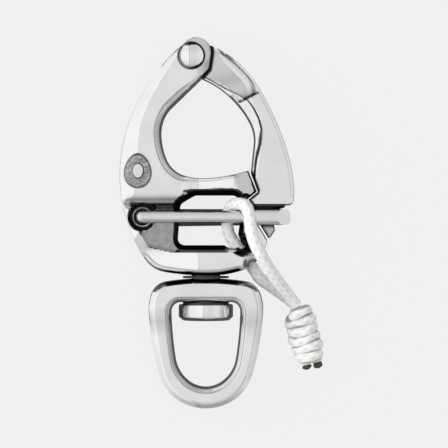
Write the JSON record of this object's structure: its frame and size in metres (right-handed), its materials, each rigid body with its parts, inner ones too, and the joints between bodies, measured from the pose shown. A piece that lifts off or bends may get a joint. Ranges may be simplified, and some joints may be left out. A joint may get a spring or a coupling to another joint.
{
  "type": "snap shackle",
  "caption": "Quick-release snap shackle: forged body with a hinged gate, a trigger rod pulled by a knotted cord lanyard, and a large swivelling bail.",
  "frame": {"origin": "under the middle of the shackle without its lanyard, at the level of the body's back face", "axes": "+Y along the swivel axis from the bail to the gate's hinge, +X from the body's back to the gate, +Z from the back face to the front face"},
  "size_m": [0.0504, 0.09, 0.017],
  "materials": {
    "forging": "mirror polished stainless steel",
    "gate_forging": "mirror polished stainless steel",
    "bail_forging": "mirror polished stainless steel",
    "pin_steel": "polished, slightly domed",
    "rod_steel": "polished drawn bar",
    "bush": "black acetal",
    "spring_steel": "drawn spring wire",
    "turned_steel": "turned and polished",
    "washer": "black thrust washer",
    "cord": "white braided polyester cord",
    "cord_tip": "melted cord end"
  },
  "bodies": {
    "shackle": {"body": "forging", "gate_pin": "pin_steel", "gate_pin_washer": "pin_steel", "trigger_bush_front": "bush", "trigger_bush_rear": "bush", "trigger_spring": "spring_steel", "spring_anchor_pin": "spring_steel", "swivel_stud": "turned_steel", "swivel_nut": "turned_steel", "swivel_washer_upper": "washer", "swivel_washer_lower": "washer", "lanyard": "cord", "lanyard_knot": "cord", "lanyard_end_left": "cord_tip", "lanyard_end_right": "cord_tip"},
    "gate_body": {"gate": "gate_forging"},
    "trigger": {"trigger_rod": "rod_steel", "trigger_lever": "rod_steel"},
    "swivel_bail": {"bail": "bail_forging"}
  },
  "joints": [
    {"name": "gate_hinge", "type": "hinge", "parent": "shackle", "child": "gate_body", "pos_m": [-0.0035, 0.0402, 0.00675], "axis": [0, 0, 1], "range_deg": [0, 72]},
    {"name": "trigger_pivot", "type": "hinge", "parent": "shackle", "child": "trigger", "pos_m": [-0.0154, 0.0014, 0.00675], "axis": [0, 0, -1], "range_deg": [0, 10], "stiffness_Nm_per_rad": 0.2, "deforming": ["lanyard"]},
    {"name": "bail_swivel", "type": "hinge", "parent": "shackle", "child": "swivel_bail", "pos_m": [0, -0.0168, 0.00675], "axis": [0, 1, 0], "continuous": true}
  ]
}
